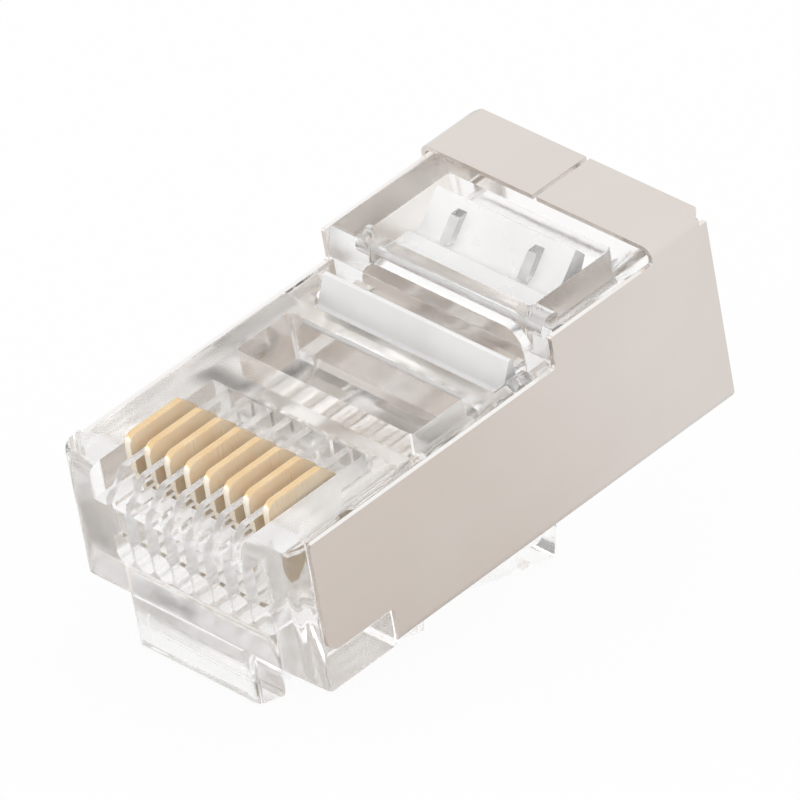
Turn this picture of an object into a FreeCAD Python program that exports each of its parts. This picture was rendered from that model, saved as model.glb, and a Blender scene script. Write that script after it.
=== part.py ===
import FreeCAD, Part
import math
import os

# Shielded eight-way modular plug, not yet crimped on a cable. Millimetres.
# X runs across the plug, Y from the nose (0) to the cable end, Z from the latch side (0)
# up to the contact side. The origin is on the nose plane, on the centre plane and on the
# latch-side face, the three planes a jack locates the plug by.

V = FreeCAD.Vector

# --- housing ---------------------------------------------------------------------------
WIDTH = 11.68           # moulding, across the nose
LENGTH = 22.0           # nose plane to the rear edge of the shield
NOSE_H = 6.65           # latch side to contact side at the nose
BLOCK_H = NOSE_H + 1.35 # top of the raised cable-end block
STEP_Y = 13.9           # foot of the block's sloped front face
STEP_LEAN = 0.4         # how far that face leans back over its height
HOUSING_END = LENGTH - 0.15     # the moulding stops just short of the shield
CORNER_R = 1.3          # upright corners of the nose
NOSE_TOP_R = 0.5        # top front edge of the nose
TOP_EDGE_R = 0.3        # long top edges
CHIN_Y = 1.3            # bevel under the nose, along Y
CHIN_Z = 1.5            # and up the front face

# --- shield, one folded sheet ------------------------------------------------------------
SHEET = 0.20
SHIELD_W = 11.80        # outside, a little proud of the moulding
SHIELD_FRONT = 1.50
SHIELD_SILL = 1.62      # lower edge of the front part of each side
SHIELD_NOTCH = 4.72     # where the sides reach down and the floor starts
SIDE_TOP = NOSE_H - 0.2     # top edge of the sides along the nose
SIDE_TOP_REAR = BLOCK_H - 0.2   # and along the block
SIDE_STEP_Y = STEP_Y + 0.07
FLAP_Y = 19.2           # front edge of the two flaps folded over the top
FLAP_TOP = BLOCK_H + 0.45
FLAP_SEAM = 0.20        # slit between the flaps
FLAP_CLIP = 0.35        # clipped rear corners
BEND_R = 0.45           # outside bend radius
EDGE_GAP = 0.08         # moulding to sheet edge

# --- contacts --------------------------------------------------------------------------
CONTACTS = 8
PITCH = 1.016
BLADE_T = 0.30
BLADE_FRONT = 1.70
BLADE_REAR = 5.00
BLADE_TOP = NOSE_H + 0.48   # stands proud until it is crimped
BLADE_RAMP = 0.60       # slope behind the top edge, down to the moulding
BLADE_CROWN = 0.42      # rounding of the upper front corner
BLADE_FOOT = 4.95       # root of the tines
TINE_TIP = 4.0
TINE_W = 0.60
TINE_IN = 0.12          # tine to the blade's end
TINE_ARCH = 0.25        # rise between the tines
BARB_H = 0.50           # over the foot
BARB_SLOPE = 0.20
CRIMP_TRAVEL = 1.10     # how far each blade is pressed in
SLOT_W = 0.68           # open upper part, which a jack's wire enters
SLOT_SHELF = 5.30       # floor of that part; the blade's own slot goes on below
SLOT_SIDE = 0.03        # blade to its own slot, each side
SLOT_END = 0.05         # blade to its own slot, each end
SLOT_BACK = 6.3         # the open slots run on behind the blades
SLOT_FLOOR = TINE_TIP - CRIMP_TRAVEL - 0.5
RIB_DROP = 0.12         # the ribs between the slots lie this far under the top face
COMB_BEVEL = 1.0        # bevel over the front ends of the ribs

# --- conductor channels, funnel and cable cavity --------------------------------------
CHANNEL_W = 0.86
CHANNEL_LO = 2.15
CHANNEL_HI = 3.35
CHANNEL_FRONT = 1.3
CHANNEL_END = 8.0
BORE_HALF = 4.15
WIRE_LO = 1.2
WIRE_HI = 5.6
CAVITY_LO = 0.95
CAVITY_HI = 7.1
CAVITY_R = 1.0
CAVITY_Y = 14.2

# --- well in the top, which keeps the walls over the funnel thin ----------------------
WELL_Y = (8.05, 10.75)
WELL_HALF = 4.5
WELL_DEEP = 2.1
WELL_FLOOR = NOSE_H - WELL_DEEP
ROOF = 0.8              # moulding left between the well and the funnel

# --- conductor clamp -------------------------------------------------------------------
BAR_Y = (11.5, 13.1)    # opening in the top
BAR_HALF = 4.75
BAR_PIVOT = (BAR_Y[1] - 0.38, NOSE_H - 0.90)
BAR_PIN_R = 0.30
BAR_PIN_HALF = 5.10
BAR_TOP = NOSE_H + 0.35
BAR_TOE = 0.97          # pivot to the pressing edge
BAR_LOW = 0.30          # pivot to the underside
BAR_FACE = (0.42, 0.20) # foot of the face: this far before and over the pivot
BAR_RIDGE = (0.08, 0.26)    # the ridge lies between these, behind the pivot
BAR_BACK = 0.06         # the back leans this far beyond the ridge
BAR_EDGE = 0.12         # height of the pressing edge
BAR_SOLE = 0.20         # its run along the underside
BAR_HEEL = 0.22         # underside's rear corner: behind the pivot
PIN_GAP = 0.04          # radial, pin to its seat
SIDE_GAP = 0.05         # moving piece to the walls beside it
RAIL_R = 0.45           # rounding of the rail at each end of the opening
RELIEF_HALF = 5.4       # the opening widens behind the rails
RELIEF_IN = 4.3         # as far in as the shelf
RELIEF_FLOOR = 5.5
SHELF_DROP = 0.45       # the shelf behind the bar lies this far under the top face

# --- jacket clamp ----------------------------------------------------------------------
WINDOW_Y = (14.75, 18.9)
CLAMP_HALF = 3.55
CLAMP_PIN_R = 0.28
CLAMP_PIN_END = 0.55    # the pins reach this far into the walls
CLAMP_PIVOT = (WINDOW_Y[0] + 0.33, BLOCK_H - 0.90)
CLAMP_WEB = 0.98        # flat web behind the pivot
CLAMP_DIP = (1.36, 0.05)    # foot of the plate's face: behind and under the pivot
CLAMP_CREST = (2.68, 1.30)  # its top edge: behind and over the pivot
CLAMP_BACK = (3.05, 0.85)   # rear corner
CLAMP_HEEL = (2.48, 0.15)   # lower rear corner: behind and under the pivot
CLAMP_PRESS = (1.28, 0.48)  # pressing edge: behind and under the pivot
PIP_W = 0.45
PIP_X = 1.98
PIP_TOP = BLOCK_H + 0.08
PIP_FOOT = 0.20         # foot of each pip: over the pivot
PIP_PROUD = 0.40        # off the plate's face
PIP_ROOT = 0.15         # into the plate

# --- latch -----------------------------------------------------------------------------
LATCH_HALF = 3.10       # wide part
TAIL_HALF = 1.62        # finger tail
LATCH_T = 0.84
LATCH_ANGLE = 17.0      # relaxed
LATCH_PIVOT = (1.85, -0.50)
SHOULDER = 6.75         # along the lever, to the locking shoulders
LATCH_LAP = 0.5         # wide part into the shouldered part
LATCH_REACH = 14.75     # along the lever, to the tip
LIP_H = 0.62            # stop lip over the lever at the tip
LIP_T = 0.75
ROOT_FRONT = 0.0
ROOT_LOW = -1.42
ROOT_GAP = 0.06

HALF = WIDTH / 2
SHIELD_HALF = SHIELD_W / 2
CORE_HALF = SHIELD_HALF - SHEET
SEAT_Y = SHIELD_NOTCH - EDGE_GAP
LEDGE_Y = FLAP_Y + 0.6  # the flaps overhang the block as far as this ledge
COMB_HALF = (CONTACTS - 1) / 2 * PITCH + SLOT_W / 2


def rounded_wire(corners, place):
    """Closed wire through (a, b, radius) corners; place turns (a, b) into a point."""
    count = len(corners)
    cuts = []
    for i in range(count):
        a, b, r = corners[i]
        pa, pb, _ = corners[i - 1]
        na, nb, _ = corners[(i + 1) % count]
        back = V(pa - a, pb - b, 0).normalize()
        ahead = V(na - a, nb - b, 0).normalize()
        here = V(a, b, 0)
        if r <= 0:
            cuts.append((here, None, here))
            continue
        half = math.acos(max(-1.0, min(1.0, back.dot(ahead)))) / 2
        reach = r / math.tan(half)
        bisector = (back + ahead).normalize()
        mid = here + bisector * (r / math.sin(half) - r)
        cuts.append((here + back * reach, mid, here + ahead * reach))
    edges = []
    for i in range(count):
        start, mid, end = cuts[i]
        if mid is not None:
            arc = Part.Arc(place(start.x, start.y), place(mid.x, mid.y), place(end.x, end.y))
            edges.append(arc.toShape())
        nxt = cuts[(i + 1) % count][0]
        if (nxt - end).Length > 1e-6:
            edges.append(Part.makeLine(place(end.x, end.y), place(nxt.x, nxt.y)))
    return Part.Wire(edges)


def side_prism(corners, x0, x1):
    """Outline given as (y, z, radius), extruded across the plug."""
    wire = rounded_wire(corners, lambda y, z: V(x0, y, z))
    return Part.Face(wire).extrude(V(x1 - x0, 0, 0))


def plan_prism(corners, z0, z1):
    """Outline given as (x, y, radius), extruded upwards."""
    wire = rounded_wire(corners, lambda x, y: V(x, y, z0))
    return Part.Face(wire).extrude(V(0, 0, z1 - z0))


def front_prism(corners, y0, y1):
    """Outline given as (x, z, radius), extruded along the plug."""
    wire = rounded_wire(corners, lambda x, z: V(x, y0, z))
    return Part.Face(wire).extrude(V(0, y1 - y0, 0))


def box(x0, x1, y0, y1, z0, z1):
    return Part.makeBox(x1 - x0, y1 - y0, z1 - z0, V(x0, y0, z0))


def cross_pin(x0, x1, centre, r):
    """Cylinder along X."""
    return Part.makeCylinder(r, x1 - x0, V(x0, centre[0], centre[1]), V(1, 0, 0))


def rect(x0, x1, z0, z1, r):
    return [(x0, z0, r), (x1, z0, r), (x1, z1, r), (x0, z1, r)]


def both_sides(shape):
    return shape.fuse(shape.mirror(V(0, 0, 0), V(1, 0, 0)))


def one_solid(shape):
    """Merged faces, and the single solid the shape must be."""
    solids = shape.removeSplitter().Solids
    if len(solids) != 1:
        raise RuntimeError("expected one solid, got %d" % len(solids))
    return solids[0]


def contact_x(i):
    return (i - (CONTACTS - 1) / 2) * PITCH


# --- the moulding ----------------------------------------------------------------------

def side_outline():
    """Nose, raised block and the ledge the flaps lie on, seen from the side."""
    ledge = FLAP_TOP - SHEET
    return [
        (0, CHIN_Z, 0.4),
        (CHIN_Y, 0, 0.4),
        (SEAT_Y, 0, 0),
        (SEAT_Y, SHEET, 0),
        (HOUSING_END, SHEET, 0.15),
        (HOUSING_END, ledge, 0.2),
        (LEDGE_Y, ledge, 0),
        (LEDGE_Y, BLOCK_H, 0),
        (STEP_Y + STEP_LEAN, BLOCK_H, 0.2),
        (STEP_Y, NOSE_H, 0.1),
        (0, NOSE_H, NOSE_TOP_R),
    ]


def housing_blank():
    """Full-width head and sill, and behind them the narrower core the sheet lies on."""
    blank = side_prism(side_outline(), -HALF, HALF)
    neck = SHIELD_FRONT - EDGE_GAP
    plan = [
        (-HALF, 0, CORNER_R),
        (HALF, 0, CORNER_R),
        (HALF, neck, 0),
        (-HALF, neck, 0),
    ]
    head = plan_prism(plan, -1, FLAP_TOP)
    sill = front_prism(rect(-HALF, HALF, -1, SHIELD_SILL - EDGE_GAP, 0), neck, SEAT_Y)
    lengths = [
        (neck, SEAT_Y, -1, NOSE_H, 0),
        (SEAT_Y, STEP_Y, SHEET, NOSE_H, TOP_EDGE_R),
        (STEP_Y, LEDGE_Y, SHEET, BLOCK_H, TOP_EDGE_R),
        (LEDGE_Y, HOUSING_END, SHEET, FLAP_TOP - SHEET, TOP_EDGE_R),
    ]
    shape = head.fuse(sill)
    for y0, y1, low, top, foot_r in lengths:
        corners = [
            (-CORE_HALF, low, foot_r),
            (CORE_HALF, low, foot_r),
            (CORE_HALF, top, TOP_EDGE_R),
            (-CORE_HALF, top, TOP_EDGE_R),
        ]
        shape = shape.fuse(front_prism(corners, y0, y1))
    return blank.common(shape.removeSplitter())


def latch_root():
    """Block under the nose that carries the latch, hollowed round the lever's root."""
    y, z = LATCH_PIVOT
    outline = [
        (ROOT_FRONT, CHIN_Z - 0.1, 0),
        (ROOT_FRONT, -0.98, 0.35),
        (y - 0.45, ROOT_LOW, 0.12),
        (y - 0.30, 0.3, 0),
        (CHIN_Y + 0.4, 0.3, 0),
        (CHIN_Y + 0.4, CHIN_Z - 0.1, 0),
    ]
    block = side_prism(outline, -LATCH_HALF, LATCH_HALF)
    plan = [
        (-LATCH_HALF, ROOT_FRONT, 0.4),
        (LATCH_HALF, ROOT_FRONT, 0.4),
        (LATCH_HALF, 3, 0),
        (-LATCH_HALF, 3, 0),
    ]
    return block.common(plan_prism(plan, -3, 3))


def contact_slots():
    """One slot per contact: wide and open at the nose, and below that as narrow as the blade."""
    half = BLADE_T / 2 + SLOT_SIDE
    front = BLADE_FRONT - SLOT_END
    rear = BLADE_REAR + SLOT_END
    cuts = []
    for i in range(CONTACTS):
        x = contact_x(i)
        cuts.append(box(x - half, x + half, front, rear, SLOT_FLOOR, NOSE_H))
        cuts.append(box(x - SLOT_W / 2, x + SLOT_W / 2, -1, SLOT_BACK, SLOT_SHELF, NOSE_H + 1))
    rib_top = NOSE_H - RIB_DROP
    bevel = [
        (-1, rib_top - COMB_BEVEL - 1, 0),
        (COMB_BEVEL, rib_top, 0.3),
        (SLOT_BACK, rib_top, 0),
        (SLOT_BACK, NOSE_H + 1, 0),
        (-1, NOSE_H + 1, 0),
    ]
    cuts.append(side_prism(bevel, -COMB_HALF, COMB_HALF))
    return cuts


def conductor_channels():
    """Eight channels side by side under the contacts."""
    half = CHANNEL_W / 2
    cuts = []
    for i in range(CONTACTS):
        x = contact_x(i)
        corners = rect(x - half, x + half, CHANNEL_LO, CHANNEL_HI, 0.35)
        cuts.append(front_prism(corners, CHANNEL_FRONT, CHANNEL_END + 0.1))
    return cuts


def funnel():
    """Opens from the row of channels to the wire cavity, low under the well in the top."""
    def ring(half, lo, hi, r, y):
        return rounded_wire(rect(-half, half, lo, hi, r), lambda x, z: V(x, y, z))
    y0, y1 = BAR_Y[0] - ROOF, BAR_Y[0]
    share = (y0 - CHANNEL_END) / (y1 - CHANNEL_END)
    low = CHANNEL_LO + (WIRE_LO - CHANNEL_LO) * share
    small = ring(BORE_HALF - 0.15, CHANNEL_LO, CHANNEL_HI, 0.3, CHANNEL_END)
    middle = ring(BORE_HALF, low, WELL_FLOOR - ROOF, 0.4, y0)
    large = ring(BORE_HALF, WIRE_LO, WELL_FLOOR, 0.4, y1)
    wires = front_prism(rect(-BORE_HALF, BORE_HALF, WIRE_LO, WIRE_HI, 0.6), y1, CAVITY_Y + 0.1)
    return [Part.makeLoft([small, middle], True, True), Part.makeLoft([middle, large], True, True), wires]


def top_well():
    """Rectangular well in the top face over the funnel."""
    y0, y1 = WELL_Y
    plan = [
        (-WELL_HALF, y0, 0.15),
        (WELL_HALF, y0, 0.15),
        (WELL_HALF, y1, 0.15),
        (-WELL_HALF, y1, 0.15),
    ]
    return [plan_prism(plan, WELL_FLOOR, NOSE_H + 1)]


def cable_cavity():
    """Cavity for the cable jacket with a lead-in at the rear, and the window over it."""
    def ring(grow, y):
        corners = rect(-BORE_HALF - grow, BORE_HALF + grow, CAVITY_LO - grow / 2,
                       CAVITY_HI + grow / 2, CAVITY_R)
        return rounded_wire(corners, lambda x, z: V(x, y, z))
    corners = rect(-BORE_HALF, BORE_HALF, CAVITY_LO, CAVITY_HI, CAVITY_R)
    bore = front_prism(corners, CAVITY_Y, HOUSING_END + 1)
    lead = Part.makeLoft([ring(0, HOUSING_END - 0.7), ring(0.7, HOUSING_END + 0.1)], True, True)
    y0, y1 = WINDOW_Y
    window = plan_prism([
        (-BORE_HALF, y0, 0.2),
        (BORE_HALF, y0, 0.2),
        (BORE_HALF, y1, 0.2),
        (-BORE_HALF, y1, 0.2),
    ], CAVITY_HI - CAVITY_R, BLOCK_H + 1)
    return [bore, lead, window]


def bar_opening():
    """Opening in the top for the conductor clamp, with a round rail at each end."""
    y0, y1 = BAR_Y
    half = BAR_HALF + SIDE_GAP
    above = NOSE_H + 1
    opening = box(-half, half, y0, y1, WELL_FLOOR, above)
    reach = BAR_PIN_HALF + SIDE_GAP
    seat = cross_pin(-reach, reach, BAR_PIVOT, BAR_PIN_R + PIN_GAP)
    shelf = box(-RELIEF_HALF, RELIEF_HALF, y1, STEP_Y, NOSE_H - SHELF_DROP, above)
    relief = box(RELIEF_IN, RELIEF_HALF, y1, STEP_Y, RELIEF_FLOOR, above)
    rail_z = NOSE_H - RAIL_R - 0.05
    axis = V(CORE_HALF - RAIL_R, y0 - 1, rail_z)
    round_top = Part.makeCylinder(RAIL_R, y1 - y0 + 2, axis, V(0, 1, 0))
    rail = box(half, HALF, y0, y1, rail_z, above).cut(round_top)
    return [opening, seat, shelf, both_sides(relief), both_sides(rail)]


def clamp_seat():
    """Bearing for the jacket clamp's pin in the side walls of the window."""
    reach = BORE_HALF + CLAMP_PIN_END + SIDE_GAP
    return [cross_pin(-reach, reach, CLAMP_PIVOT, CLAMP_PIN_R + PIN_GAP)]


def make_housing():
    body = housing_blank().fuse(latch_root())
    cuts = contact_slots() + conductor_channels() + funnel() + cable_cavity()
    cuts += top_well() + bar_opening() + clamp_seat()
    cuts.append(cross_pin(-HALF, HALF, LATCH_PIVOT, LATCH_T / 2 + ROOT_GAP))
    for cut in cuts:
        body = body.cut(cut)
    return one_solid(body)


# --- the sheet -------------------------------------------------------------------------

def make_shield():
    """Floor, two sides and two top flaps folded from one sheet."""
    outer = rect(-SHIELD_HALF, SHIELD_HALF, 0, FLAP_TOP, BEND_R)
    inner = rect(-CORE_HALF, CORE_HALF, SHEET, FLAP_TOP - SHEET, BEND_R - SHEET)
    tube = front_prism(outer, SHIELD_FRONT, LENGTH)
    tube = tube.cut(front_prism(inner, SHIELD_FRONT - 1, LENGTH + 1))
    blank = [
        (SHIELD_FRONT, SHIELD_SILL, 0.55),
        (SHIELD_NOTCH, SHIELD_SILL, 0.1),
        (SHIELD_NOTCH, -1, 0),
        (LENGTH, -1, 0),
        (LENGTH, FLAP_TOP + 1, 0),
        (FLAP_Y, FLAP_TOP + 1, 0),
        (FLAP_Y, SIDE_TOP_REAR, 0.1),
        (SIDE_STEP_Y, SIDE_TOP_REAR, 0.15),
        (SIDE_STEP_Y, SIDE_TOP, 0.2),
        (SHIELD_FRONT, SIDE_TOP, 0.15),
    ]
    sheet = tube.common(side_prism(blank, -HALF - 1, HALF + 1))
    slit = FLAP_SEAM / 2
    sheet = sheet.cut(box(-slit, slit, FLAP_Y - 1, LENGTH + 1, FLAP_TOP - 1, FLAP_TOP + 1))
    clip = plan_prism([
        (CORE_HALF - FLAP_CLIP, LENGTH + 0.1, 0),
        (CORE_HALF + 0.05, LENGTH - FLAP_CLIP, 0),
        (HALF + 1, LENGTH - FLAP_CLIP, 0),
        (HALF + 1, LENGTH + 0.1, 0),
    ], FLAP_TOP - BEND_R, FLAP_TOP + 1)
    return one_solid(sheet.cut(both_sides(clip)))


# --- the pieces that move --------------------------------------------------------------

def make_contact(x):
    """Gold-plated blade with two insulation-piercing tines and a barb at each end."""
    mid = (BLADE_FRONT + BLADE_REAR) / 2
    barb = BLADE_FOOT + BARB_H
    front = BLADE_FRONT + TINE_IN
    rear = BLADE_REAR - TINE_IN
    outline = [
        (BLADE_FRONT, BLADE_TOP, BLADE_CROWN),
        (BLADE_FRONT, barb + BARB_SLOPE, 0.1),
        (front, barb, 0),
        (front, BLADE_FOOT, 0),
        (front + TINE_W / 2, TINE_TIP, 0.05),
        (front + TINE_W, BLADE_FOOT, 0),
        (mid, BLADE_FOOT + TINE_ARCH, 0.15),
        (rear - TINE_W, BLADE_FOOT, 0),
        (rear - TINE_W / 2, TINE_TIP, 0.05),
        (rear, BLADE_FOOT, 0),
        (rear, barb, 0),
        (BLADE_REAR, barb + BARB_SLOPE, 0.1),
        (BLADE_REAR, BLADE_TOP - BLADE_RAMP, 0.2),
        (BLADE_REAR - BLADE_RAMP, BLADE_TOP, 0.25),
    ]
    return one_solid(side_prism(outline, x - BLADE_T / 2, x + BLADE_T / 2))


def make_conductor_clamp():
    """Bar with a sloped face, a pressing toe below it and a round pin at each end."""
    y, z = BAR_PIVOT
    low = z - BAR_LOW
    face_y, face_z = BAR_FACE
    ridge_front, ridge_rear = BAR_RIDGE
    outline = [
        (y - BAR_TOE, low + BAR_EDGE, 0.08),
        (y - face_y, z + face_z, 0.12),
        (y + ridge_front, BAR_TOP, 0.06),
        (y + ridge_rear, BAR_TOP, 0.06),
        (y + ridge_rear + BAR_BACK, z + face_z, 0.1),
        (y + BAR_HEEL, low, 0.12),
        (y - BAR_TOE + BAR_SOLE, low, 0.1),
    ]
    bar = side_prism(outline, -BAR_HALF, BAR_HALF)
    return one_solid(bar.fuse(cross_pin(-BAR_PIN_HALF, BAR_PIN_HALF, BAR_PIVOT, BAR_PIN_R)))


def make_jacket_clamp():
    """Web from the pin to a raised plate, with two stop pips and a pressing edge below."""
    y, z = CLAMP_PIVOT
    r = CLAMP_PIN_R
    outline = [
        (y, z - r, 0),
        (y + CLAMP_PRESS[0], z - CLAMP_PRESS[1], 0.3),
        (y + CLAMP_HEEL[0], z - CLAMP_HEEL[1], 0.15),
        (y + CLAMP_BACK[0], z + CLAMP_BACK[1], 0.1),
        (y + CLAMP_CREST[0], z + CLAMP_CREST[1], 0.08),
        (y + CLAMP_DIP[0], z - CLAMP_DIP[1], 0.2),
        (y + CLAMP_WEB, z + r, 0.12),
        (y, z + r, 0),
    ]
    plate = side_prism(outline, -CLAMP_HALF, CLAMP_HALF)
    end = BORE_HALF + CLAMP_PIN_END
    plate = plate.fuse(cross_pin(-end, end, CLAMP_PIVOT, r))
    lean = (CLAMP_CREST[0] - CLAMP_DIP[0]) / (CLAMP_CREST[1] + CLAMP_DIP[1])
    foot = z + PIP_FOOT
    y_foot = y + CLAMP_DIP[0] + (foot - z + CLAMP_DIP[1]) * lean
    y_top = y_foot + (PIP_TOP - foot) * lean
    pip = side_prism([
        (y_foot - PIP_PROUD, foot, 0),
        (y_top - PIP_PROUD, PIP_TOP, 0.05),
        (y_top + PIP_ROOT, PIP_TOP, 0),
        (y_foot + PIP_ROOT, foot, 0),
    ], PIP_X - PIP_W / 2, PIP_X + PIP_W / 2)
    return one_solid(plate.fuse(both_sides(pip)))


def make_latch_lever():
    """Wide arm with locking shoulders, finger tail and a stop lip, drawn flat then tilted."""
    y, z = LATCH_PIVOT
    half_t = LATCH_T / 2
    arm = box(-LATCH_HALF, LATCH_HALF, y, y + SHOULDER, z - half_t, z + half_t)
    tail_outline = [
        (y + SHOULDER - 1, z - half_t, 0),
        (y + LATCH_REACH, z - half_t, 0.2),
        (y + LATCH_REACH, z + half_t + LIP_H, 0.2),
        (y + LATCH_REACH - LIP_T, z + half_t + LIP_H, 0.2),
        (y + LATCH_REACH - LIP_T, z + half_t, 0.3),
        (y + SHOULDER - 1, z + half_t, 0),
    ]
    tail = side_prism(tail_outline, -TAIL_HALF, TAIL_HALF)
    gussets = plan_prism([
        (-LATCH_HALF, y + SHOULDER - 0.8, 0),
        (LATCH_HALF, y + SHOULDER - 0.8, 0),
        (LATCH_HALF, y + SHOULDER, 0.2),
        (TAIL_HALF, y + SHOULDER, 0.4),
        (TAIL_HALF, y + SHOULDER + 2.0, 0),
        (-TAIL_HALF, y + SHOULDER + 2.0, 0),
        (-TAIL_HALF, y + SHOULDER, 0.4),
        (-LATCH_HALF, y + SHOULDER, 0.2),
    ], z - half_t, z + half_t)
    arm = arm.common(box(-LATCH_HALF, LATCH_HALF, y, y + SHOULDER - LATCH_LAP, -SHOULDER, SHOULDER))
    lever = arm.fuse(gussets).fuse(tail)
    lever = lever.fuse(cross_pin(-LATCH_HALF, LATCH_HALF, LATCH_PIVOT, half_t))
    lever.rotate(V(0, y, z), V(1, 0, 0), -LATCH_ANGLE)
    return one_solid(lever)


def main():
    os.makedirs("parts", exist_ok=True)
    pieces = {
        "housing": make_housing(),
        "shield": make_shield(),
        "latch_lever": make_latch_lever(),
        "conductor_clamp": make_conductor_clamp(),
        "jacket_clamp": make_jacket_clamp(),
    }
    for i in range(CONTACTS):
        pieces["contact_%d" % (i + 1)] = make_contact(contact_x(i))
    for name, shape in pieces.items():
        shape.exportStep("parts/%s.step" % name)


main()
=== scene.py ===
import math

import bpy
from mathutils import Matrix, Vector


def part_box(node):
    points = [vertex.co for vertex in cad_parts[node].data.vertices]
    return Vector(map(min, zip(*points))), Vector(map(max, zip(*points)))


# The clear plug with its folded metal shell, seen from above one front corner.
# Metres, in the same frame as the CAD: nose plane y = 0, latch side z = 0.

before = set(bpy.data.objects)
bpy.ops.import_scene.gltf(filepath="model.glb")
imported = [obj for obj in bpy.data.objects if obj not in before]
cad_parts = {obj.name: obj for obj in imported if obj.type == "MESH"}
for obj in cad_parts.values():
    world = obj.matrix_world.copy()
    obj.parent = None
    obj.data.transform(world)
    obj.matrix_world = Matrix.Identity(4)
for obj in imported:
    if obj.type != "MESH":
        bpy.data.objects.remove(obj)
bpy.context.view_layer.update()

MM = 0.001

# --- material helpers ------------------------------------------------------------------

LOW, HIGH = 0.3, 0.7    # nearly all of a noise's values lie between these two


def add(tree, kind, **values):
    node = tree.nodes.new(kind)
    for key, value in values.items():
        setattr(node, key, value)
    return node


def new_material(name):
    mat = bpy.data.materials.new(name)
    mat.use_nodes = True
    tree = mat.node_tree
    tree.nodes.clear()
    out = tree.nodes.new("ShaderNodeOutputMaterial")
    return mat, tree, out


def principled(name):
    """A new material with one principled shader on its surface."""
    mat, tree, out = new_material(name)
    bsdf = add(tree, "ShaderNodeBsdfPrincipled")
    tree.links.new(bsdf.outputs["BSDF"], out.inputs["Surface"])
    return mat, tree, bsdf


def position(tree):
    """Object coordinates, in metres, the same for every piece of the frame."""
    return add(tree, "ShaderNodeTexCoord").outputs["Object"]


def noise(tree, vector, scale, detail, stretch):
    """Noise of about 1/scale metres, drawn out along the axes with a small stretch."""
    mapping = add(tree, "ShaderNodeMapping")
    mapping.inputs["Scale"].default_value = stretch
    tree.links.new(vector, mapping.inputs["Vector"])
    tex = add(tree, "ShaderNodeTexNoise")
    tex.inputs["Scale"].default_value = scale
    tex.inputs["Detail"].default_value = detail
    tree.links.new(mapping.outputs["Vector"], tex.inputs["Vector"])
    return tex.outputs["Fac"]


def spread(tree, value, lo, hi, from_lo=LOW, from_hi=HIGH):
    """A value from from_lo..from_hi brought to lo..hi, and held there beyond both ends."""
    node = add(tree, "ShaderNodeMapRange")
    node.inputs["From Min"].default_value = from_lo
    node.inputs["From Max"].default_value = from_hi
    node.inputs["To Min"].default_value = lo
    node.inputs["To Max"].default_value = hi
    tree.links.new(value, node.inputs["Value"])
    return node.outputs["Result"]


def linear(r, g, b):
    """Display value 0..255 (sRGB) to the linear value that a shader takes."""
    def one(c):
        c = c / 255
        return c / 12.92 if c <= 0.04045 else ((c + 0.055) / 1.055) ** 2.4
    return one(r), one(g), one(b)


def tint(tree, value, first, last):
    """From one display colour at LOW to another at HIGH."""
    node = add(tree, "ShaderNodeValToRGB")
    for stop, at, colour in zip(node.color_ramp.elements, (LOW, HIGH), (first, last)):
        stop.color = (*linear(*colour), 1)
        stop.position = at
    tree.links.new(value, node.inputs["Fac"])
    return node.outputs["Color"]


def bump(tree, height, relief, amount=1.0, normal=None):
    """Relief, given as its depth in metres and its strength, laid over another normal."""
    depth, strength = relief
    node = add(tree, "ShaderNodeBump")
    node.inputs["Distance"].default_value = depth * amount
    node.inputs["Strength"].default_value = strength
    tree.links.new(height, node.inputs["Height"])
    if normal is not None:
        tree.links.new(normal, node.inputs["Normal"])
    return node.outputs["Normal"]


# --- finishes --------------------------------------------------------------------------
# Each grain is a noise: scale per metre, detail, stretch along x, y and z.
# Each relief is a depth in metres and a strength.

EVEN = (1, 1, 1)

# Plastic: the share of light that goes through, and the roughness, each low..high by patch.
PLASTIC_IOR = 1.33                         # lower than polycarbonate's
CLEAR_TINT = (1.0, 0.995, 0.99)
CLEAR_CLARITY = (0.995, 1.0)
CLEAR_GLOSS = (0.08, 0.16)
FROST_CLARITY = (0.10, 0.25)
FROST_GLOSS = (0.24, 0.36)
BAR_CLARITY = (0.05, 0.20)
PIP_CLARITY = (0.45, 0.65)
MILK_GRAIN = (260, 3.0, EVEN)
HAZE_GRAIN = (420, 3.0, EVEN)
FLOW_GRAIN = (900, 2.0, (1.0, 0.35, 1.0))
FLOW_RELIEF = (0.00002, 0.6)
SCUFF_GRAIN = (2500, 2.0, (1.0, 0.2, 1.0))
SCUFF_RELIEF = (0.000002, 0.3)

# Nickel: display colours, roughness low..high, and two places along y, in metres: the plate's
# colour is painted shade at the first and painted light at the second.
OUTSIDE_PAINTED_SHADE = (220, 210, 202)
OUTSIDE_PAINTED_LIGHT = (230, 223, 217)
OUTSIDE_GLOSS = (0.28, 0.36)
OUTSIDE_PAINTED_LIGHT_FROM = (0.010, 0.020)              # painted reflection, brighter towards the cable end
# The inner faces take a lighter copy of the nickel: painted light, which lifts the moulding seen
# in front of them.
INSIDE_PAINTED_SHADE = (246, 241, 237)
INSIDE_PAINTED_LIGHT = (254, 252, 250)
INSIDE_GLOSS = (0.12, 0.18)
INSIDE_PAINTED_LIGHT_FROM = (0.0195, 0.0160)             # painted light, brighter towards the nose
SOLE_PAINTED_SHADE = (206, 198, 191)                # the inner floor: painted shade, darker at the cable end
SOLE_PAINTED_LIGHT_FROM = (0.0198, 0.0168)
CLOUD_GRAIN = (120, 3.0, EVEN)
CLOUD_SHIFT = 0.12                         # how far clouds move the plate along its colours
ROLLED_GRAIN = (5000, 2.0, (1.0, 0.03, 1.0))
ROLLED_RELIEF = (0.0000012, 0.4)

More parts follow.
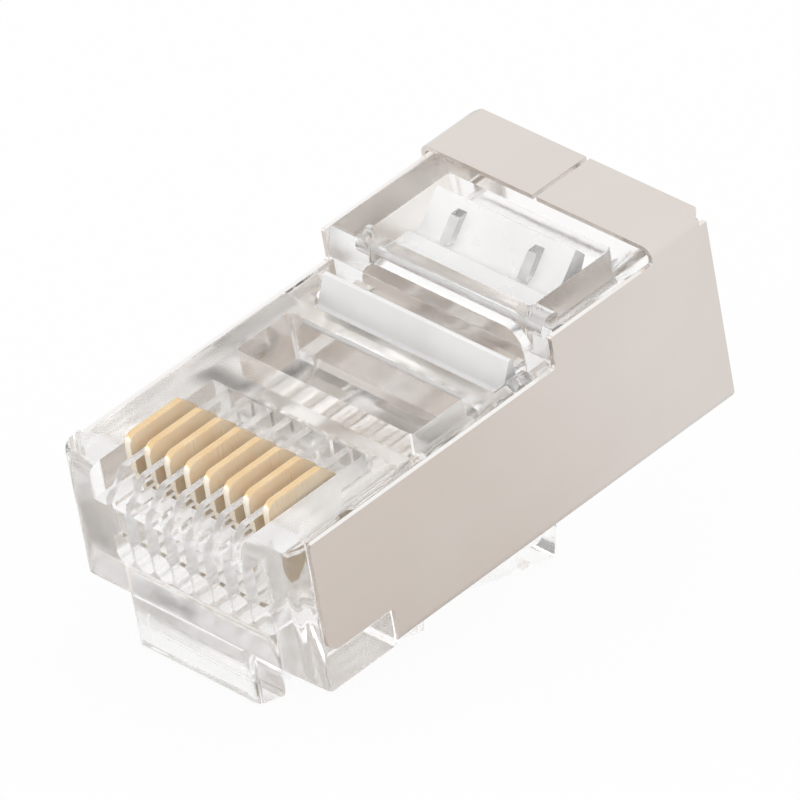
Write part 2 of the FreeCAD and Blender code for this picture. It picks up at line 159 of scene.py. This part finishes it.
# Gold: display colours by patch, how metallic it is, roughness low..high.
FLASH_DEEP = (255, 230, 196)               # thin flash on the blades' flat sides
FLASH_PALE = (255, 239, 212)
FLASH_METAL = 0.05
FLASH_GLOSS = (0.26, 0.38)
CROWN_PAINTED_SHADE_DEEP = (243, 209, 160)               # the up-facing crown faces: a deeper, oranger gold painted on as shade
CROWN_PAINTED_SHADE_PALE = (250, 222, 180)
CROWN_METAL = 0.75
CROWN_GLOSS = (0.20, 0.28)
TIP_PAINTED_GLINT_DEEP = (255, 240, 216)                 # painted glint on the blades' front ends, a paler gold
TIP_PAINTED_GLINT_PALE = (255, 248, 234)
TIP_METAL = 0.30
TIP_GLOSS = (0.14, 0.24)
PATCH_GRAIN = (1500, 3.0, EVEN)
SHEAR_GRAIN = (9000, 2.0, (1.0, 1.0, 0.08))
SHEAR_RELIEF = (0.0000006, 0.3)


def plastic(name, clarity, gloss, ripple):
    """Moulded polycarbonate: flow ripples, hazy patches, fine scuffs, milk where not clear."""
    mat, tree, bsdf = principled(name)
    here = position(tree)
    bsdf.inputs["Base Color"].default_value = (*CLEAR_TINT, 1)
    bsdf.inputs["IOR"].default_value = PLASTIC_IOR
    milk = noise(tree, here, *MILK_GRAIN)
    tree.links.new(spread(tree, milk, *clarity), bsdf.inputs["Transmission Weight"])
    haze = noise(tree, here, *HAZE_GRAIN)
    tree.links.new(spread(tree, haze, *gloss), bsdf.inputs["Roughness"])
    flow = bump(tree, noise(tree, here, *FLOW_GRAIN), FLOW_RELIEF, ripple)
    scuff = bump(tree, noise(tree, here, *SCUFF_GRAIN), SCUFF_RELIEF, ripple, flow)
    tree.links.new(scuff, bsdf.inputs["Normal"])
    return mat


def nickel(name, painted_shade, painted_light, gloss, painted_light_from):
    """Nickel plate on rolled sheet: faint rolling lines, painted light and shade along y, and a
    random cloudy tone.
    """
    mat, tree, bsdf = principled(name)
    here = position(tree)
    bsdf.inputs["Metallic"].default_value = 1.0
    axes = add(tree, "ShaderNodeSeparateXYZ")
    tree.links.new(here, axes.inputs[0])
    cloud = noise(tree, here, *CLOUD_GRAIN)
    # Painted shade and light along y, shifted a little by the random cloud.
    painted_light_and_cloud = add(tree, "ShaderNodeMath", operation="ADD")
    tree.links.new(spread(tree, axes.outputs["Y"], LOW, HIGH, *painted_light_from), painted_light_and_cloud.inputs[0])
    tree.links.new(spread(tree, cloud, -CLOUD_SHIFT, CLOUD_SHIFT), painted_light_and_cloud.inputs[1])
    tree.links.new(tint(tree, painted_light_and_cloud.outputs[0], painted_shade, painted_light), bsdf.inputs["Base Color"])
    rolled = noise(tree, here, *ROLLED_GRAIN)
    tree.links.new(spread(tree, rolled, *gloss), bsdf.inputs["Roughness"])
    tree.links.new(bump(tree, rolled, ROLLED_RELIEF), bsdf.inputs["Normal"])
    return mat


def gold(name, deep, pale, metal, gloss):
    """Gold on stamped blades: patches where the plate is thin, shear lines down the cut face."""
    mat, tree, bsdf = principled(name)
    here = position(tree)
    bsdf.inputs["Metallic"].default_value = metal
    patch = noise(tree, here, *PATCH_GRAIN)
    tree.links.new(tint(tree, patch, deep, pale), bsdf.inputs["Base Color"])
    shear = noise(tree, here, *SHEAR_GRAIN)
    tree.links.new(spread(tree, shear, *gloss), bsdf.inputs["Roughness"])
    tree.links.new(bump(tree, shear, SHEAR_RELIEF), bsdf.inputs["Normal"])
    return mat


MATERIALS = {
    "clear": plastic("clear_polycarbonate", CLEAR_CLARITY, CLEAR_GLOSS, 1.0),
    "bar": plastic("hazy_polycarbonate", BAR_CLARITY, CLEAR_GLOSS, 0.6),
    "frosted": plastic("frosted_polycarbonate", FROST_CLARITY, FROST_GLOSS, 1.2),
    "pip": plastic("pip_polycarbonate", PIP_CLARITY, CLEAR_GLOSS, 1.0),
    "nickel": nickel("nickel_outside_painted_gradient", OUTSIDE_PAINTED_SHADE, OUTSIDE_PAINTED_LIGHT, OUTSIDE_GLOSS, OUTSIDE_PAINTED_LIGHT_FROM),
    "painted_light": nickel("nickel_inside_painted_light", INSIDE_PAINTED_SHADE, INSIDE_PAINTED_LIGHT, INSIDE_GLOSS, INSIDE_PAINTED_LIGHT_FROM),
    "sole": nickel("nickel_sole_painted_shade", SOLE_PAINTED_SHADE, INSIDE_PAINTED_LIGHT, INSIDE_GLOSS, SOLE_PAINTED_LIGHT_FROM),
    "flash": gold("gold_flash", FLASH_DEEP, FLASH_PALE, FLASH_METAL, FLASH_GLOSS),
    "crown": gold("gold_crown_painted_shade", CROWN_PAINTED_SHADE_DEEP, CROWN_PAINTED_SHADE_PALE, CROWN_METAL, CROWN_GLOSS),
    "tip": gold("gold_tip_painted_glint", TIP_PAINTED_GLINT_DEEP, TIP_PAINTED_GLINT_PALE, TIP_METAL, TIP_GLOSS),
}

# --- which face takes which finish -----------------------------------------------------

# The finishes of each piece, by material slot. Every other piece is a blade.
FINISHES = {
    "housing": ("clear",),
    "latch_lever": ("clear",),
    "conductor_clamp": ("bar",),
    "jacket_clamp": ("frosted", "pip", "clear"),
    "shield": ("nickel", "painted_light", "sole"),
}
BLADE_FINISHES = ("flash", "crown", "tip")

# Bounds for a face's normal, by the part of it that points one way.
LEVEL = 0.9             # up: a level face
CROWN_NORMAL = 0.6      # up: a face on a blade's crown
SOLE_NORMAL = 0.7       # up: a face on the sheet's inner floor
TIP_NORMAL = -0.5       # along y, so forward: a face on a blade's front end
ACROSS = 0.5            # sideways, up or down: not one of the sheet's end faces

OFF_AXIS = 1.0 * MM             # an inner face lies at least this far from the middle
CUT_EDGE_UNDER = 0.3 * MM       # the sides' cut edges lie at least this far below the flaps
SOLE_UNDER = 0.25               # the inner floor lies below this share of the sheet's height
PIP_FROM, PIP_TO = 1.72 * MM, 2.24 * MM     # where the pips stand, left and right of x = 0


def faces_inward(poly, middle):
    """True for a face of the sheet that looks at the plug's axis."""
    to_axis = Vector((middle.x - poly.center.x, 0, middle.z - poly.center.z))
    across = Vector((poly.normal.x, 0, poly.normal.z))
    return across.length > ACROSS and across.normalized().dot(to_axis) > OFF_AXIS


def is_cut_edge(poly, top):
    """True for the bare upper edges of the sheet's two sides."""
    return poly.normal.z > LEVEL and top / 2 < poly.center.z < top - CUT_EDGE_UNDER


def sheet_slot(poly, middle, top):
    """Satin outside; a painted-light copy where the sheet faces the moulding and, as a painted
    highlight, on the cut edges; painted shade on its inner floor.
    """
    # The cut edges take the painted-light nickel: a painted highlight.
    if not (faces_inward(poly, middle) or is_cut_edge(poly, top)):
        return 0
    return 2 if poly.normal.z > SOLE_NORMAL and poly.center.z < top * SOLE_UNDER else 1


def plate_slot(poly, vertices):
    """Frosted, but half milky on the two pips and clear on their upper ends."""
    across = [vertices[i].co.x for i in poly.vertices]
    lo, hi = min(across), max(across)
    on_left = PIP_FROM < -hi and -lo < PIP_TO
    on_right = PIP_FROM < lo and hi < PIP_TO
    if not (on_left or on_right):
        return 0
    return 2 if poly.normal.z > LEVEL else 1


def blade_slot(poly):
    """Thin flash, but on the up-facing crown a more metallic gold with painted shade, and a
    painted glint on the front end.
    """
    if poly.normal.z > CROWN_NORMAL:
        return 1
    return 2 if poly.normal.y < TIP_NORMAL else 0


shield_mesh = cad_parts["shield"].data
shield_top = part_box("shield")[1][2]
shield_middle = sum((Vector(v.co) for v in shield_mesh.vertices), Vector())
shield_middle /= len(shield_mesh.vertices)

for node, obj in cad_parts.items():
    mesh = obj.data
    mesh.materials.clear()
    for finish in FINISHES.get(node, BLADE_FINISHES):
        mesh.materials.append(MATERIALS[finish])
    for poly in mesh.polygons:
        slot = 0
        if node == "shield":
            slot = sheet_slot(poly, shield_middle, shield_top)
        elif node == "jacket_clamp":
            slot = plate_slot(poly, mesh.vertices)
        elif node.startswith("contact_"):
            slot = blade_slot(poly)
        poly.material_index = slot

# --- air and worn edges ----------------------------------------------------------------

AIR = 0.012 * MM
EDGE = 0.03 * MM
EDGE_SEGMENTS = 2
EDGE_ANGLE = 40         # degrees: flatter folds than this keep their shape
WELD = 0.0005 * MM      # joins the vertices that faces have in common


def weld(obj):
    obj.modifiers.new("weld", "WELD").merge_threshold = WELD


# The moulding touches the sheet in the CAD; here a hair of air lies between the two, as on
# the real plug, so that light passes from one to the other cleanly.
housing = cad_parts["housing"]
weld(housing)
shrink = housing.modifiers.new("air", "DISPLACE")
shrink.strength = -AIR
shrink.mid_level = 0.0

# Worn edges of the sheet and of the stamped blades.
for node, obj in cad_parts.items():
    if node == "shield" or node.startswith("contact_"):
        weld(obj)
        edge = obj.modifiers.new("edge", "BEVEL")
        edge.width = EDGE
        edge.segments = EDGE_SEGMENTS
        edge.limit_method = "ANGLE"
        edge.angle_limit = math.radians(EDGE_ANGLE)

# --- floor and world -------------------------------------------------------------------

ROOM = 0.92                     # the room's level for light that falls on the plug
WORLD_MIRRORED = 0.20           # how much of the white backdrop the metal mirrors
FLOOR_MIRRORED = 0.10
FLOOR_WHITE = 0.95              # the rest of the floor is plain, and takes the shadow
FLOOR_COLOUR = (0.90, 0.90, 0.90)
FLOOR_SIZE = 0.8
FLOOR_GAP = 0.02 * MM           # keeps the floor clear of the plug that stands on it
WHITE = (1, 1, 1)

REST_A = Vector((0, 1.40, -1.42)) * MM      # the plug rests on the block under its nose
REST_B = Vector((0, 15.90, -5.17)) * MM     # and on the latch's tip


def light_maths(tree, operation, first, second):
    """A math node on two values, each a socket or a number."""
    node = add(tree, "ShaderNodeMath", operation=operation)
    for socket, value in zip(node.inputs, (first, second)):
        if isinstance(value, float):
            socket.default_value = value
        else:
            tree.links.new(value, socket)
    return node.outputs[0]


def backdrop_share(tree, plain, mirrored):
    """How much of the plain white backdrop a ray meets: straight or through glass, or mirrored."""
    path = add(tree, "ShaderNodeLightPath").outputs
    direct = light_maths(tree, "MAXIMUM", path["Is Camera Ray"], path["Is Transmission Ray"])
    shown = light_maths(tree, "MULTIPLY", direct, plain)
    glint = light_maths(tree, "MULTIPLY", path["Is Glossy Ray"], mirrored)
    return light_maths(tree, "MAXIMUM", shown, glint)


def light_source(tree, kind, strength):
    """White light of a strength: an emission or a background."""
    node = add(tree, kind)
    node.inputs["Color"].default_value = (*WHITE, 1)
    node.inputs["Strength"].default_value = strength
    return node


def with_backdrop(tree, out, share, plain, backdrop):
    """Shows the backdrop for its share of the rays and the plain shader for the rest."""
    mix = add(tree, "ShaderNodeMixShader")
    tree.links.new(share, mix.inputs["Fac"])
    tree.links.new(plain.outputs[0], mix.inputs[1])
    tree.links.new(backdrop.outputs[0], mix.inputs[2])
    tree.links.new(mix.outputs[0], out.inputs["Surface"])


bpy.ops.mesh.primitive_plane_add(size=FLOOR_SIZE)
floor = bpy.context.object
floor.name = "studio_floor"
floor.location = REST_A - Vector((0, 0, FLOOR_GAP))
floor.rotation_euler = (math.atan2(REST_B.z - REST_A.z, REST_B.y - REST_A.y), 0, 0)
mat, tree, out = new_material("studio_floor")
diffuse = add(tree, "ShaderNodeBsdfDiffuse")
diffuse.inputs["Color"].default_value = (*FLOOR_COLOUR, 1)
glow = light_source(tree, "ShaderNodeEmission", 1.0)
with_backdrop(tree, out, backdrop_share(tree, FLOOR_WHITE, FLOOR_MIRRORED), diffuse, glow)
floor.data.materials.append(mat)

world = bpy.data.worlds.new("studio")
bpy.context.scene.world = world
world.use_nodes = True
tree = world.node_tree
tree.nodes.clear()
out = tree.nodes.new("ShaderNodeOutputWorld")
room = light_source(tree, "ShaderNodeBackground", ROOM)
white = light_source(tree, "ShaderNodeBackground", 1.0)
with_backdrop(tree, out, backdrop_share(tree, 1.0, WORLD_MIRRORED), room, white)

# --- lamps -----------------------------------------------------------------------------

CENTRE = Vector((0, 10.7, 3.5)) * MM        # the lamps and the camera look at this point

# Name, azimuth and elevation in degrees, distance and size in metres, power in watts.
LAMPS = (
    ("key", 30, 50, 0.35, 0.25, 0.16),
    ("fill", -50, 20, 0.35, 0.12, 0.08),
)


def direction(azimuth, elevation):
    """The way out from the plug, for radians. Azimuth 0 is ahead of the nose and grows to +x."""
    level = math.cos(elevation)
    return Vector((math.sin(azimuth) * level, -math.cos(azimuth) * level, math.sin(elevation)))


for name, azimuth, elevation, distance, size, power in LAMPS:
    away = direction(math.radians(azimuth), math.radians(elevation))
    lamp = bpy.data.lights.new(name, "AREA")
    lamp.shape = "SQUARE"
    lamp.size = size
    lamp.energy = power
    obj = bpy.data.objects.new(name, lamp)
    obj.location = CENTRE + away * distance
    obj.rotation_mode = "QUATERNION"
    obj.rotation_quaternion = (-away).to_track_quat("-Z", "Y")
    bpy.context.scene.collection.objects.link(obj)

# --- camera ----------------------------------------------------------------------------

AZIMUTH, ELEVATION, ROLL = 51.39, 35.99, -10.50     # degrees
DISTANCE = 461 * MM
PIXELS_PER_MM = 27.89                               # at the centre
IMAGE = 800                                         # pixels across
SENSOR = 36.0                                       # millimetres across
SHIFT = (0.41 * MM, 0.87 * MM)                      # of the camera, along its own axes
CLIP = (0.01, 10)                                   # metres, nearest and farthest

azimuth, elevation, roll = map(math.radians, (AZIMUTH, ELEVATION, ROLL))
back = direction(azimuth, elevation)
right = Vector((math.cos(azimuth), math.sin(azimuth), 0))
up = back.cross(right)
cam_x = right * math.cos(roll) + up * math.sin(roll)
cam_y = up * math.cos(roll) - right * math.sin(roll)
place = CENTRE + back * DISTANCE + cam_x * SHIFT[0] + cam_y * SHIFT[1]
turn = Matrix((cam_x, cam_y, back)).transposed()

camera_data = bpy.data.cameras.new("camera")
camera_data.sensor_width = SENSOR
camera_data.lens = PIXELS_PER_MM * DISTANCE / MM * SENSOR / IMAGE
camera_data.clip_start, camera_data.clip_end = CLIP
camera = bpy.data.objects.new("camera", camera_data)
camera.matrix_world = Matrix.Translation(place) @ turn.to_4x4()
bpy.context.scene.collection.objects.link(camera)
bpy.context.scene.camera = camera

# Light crosses many clear walls before it comes out, so its paths are long.
scene = bpy.context.scene
scene.view_settings.view_transform = "Standard"
scene.cycles.max_bounces = 40
scene.cycles.diffuse_bounces = 24
scene.cycles.transmission_bounces = 40
scene.cycles.glossy_bounces = 32
